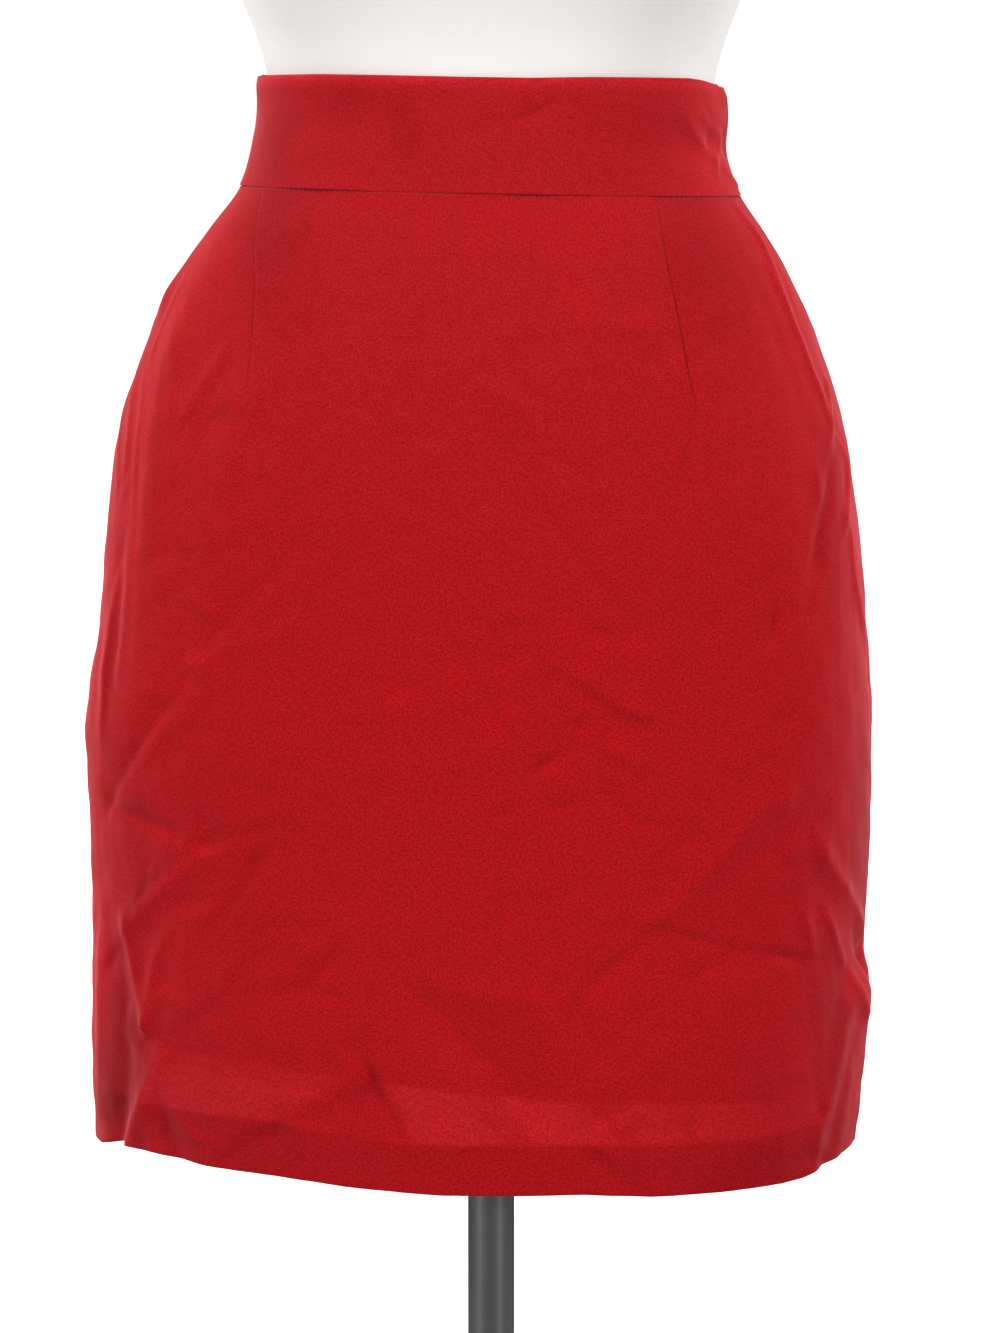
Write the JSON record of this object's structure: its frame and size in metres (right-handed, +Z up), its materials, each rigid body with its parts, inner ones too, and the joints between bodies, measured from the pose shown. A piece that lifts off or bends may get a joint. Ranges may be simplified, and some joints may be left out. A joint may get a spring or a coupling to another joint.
{
  "type": "pencil skirt on a dress form",
  "caption": "Short pencil skirt with a straight waistband, waist darts and a concealed side zip, worn by a limbless dress form on a pole with a round base.",
  "frame": {"origin": "on the floor, at the centre of the round base's underside", "axes": "+Z up; the skirt's front faces -Y; the wearer's left side, with the zip, is +X"},
  "size_m": [0.4, 0.4, 1.4863],
  "materials": {
    "skirt_cloth": "crimson crepe weave, matt, with a soft pale sheen at the edges",
    "lining_cloth": "smooth red lining, slight shine",
    "zip_tape": "red woven tape",
    "form_cover": "off-white stretched knit cover",
    "stand_metal": "dark, worn, drawn lengthwise"
  },
  "bodies": {
    "root": {"front_panel": "skirt_cloth", "back_panel": "skirt_cloth", "waistband": "skirt_cloth", "side_zip": "zip_tape", "lining": "lining_cloth", "form_torso": "form_cover", "form_neck_cap": "stand_metal", "form_arm_plate_left": "stand_metal", "form_arm_plate_right": "stand_metal", "form_flange": "stand_metal", "stand_pole": "stand_metal", "stand_base": "stand_metal"}
  },
  "joints": []
}
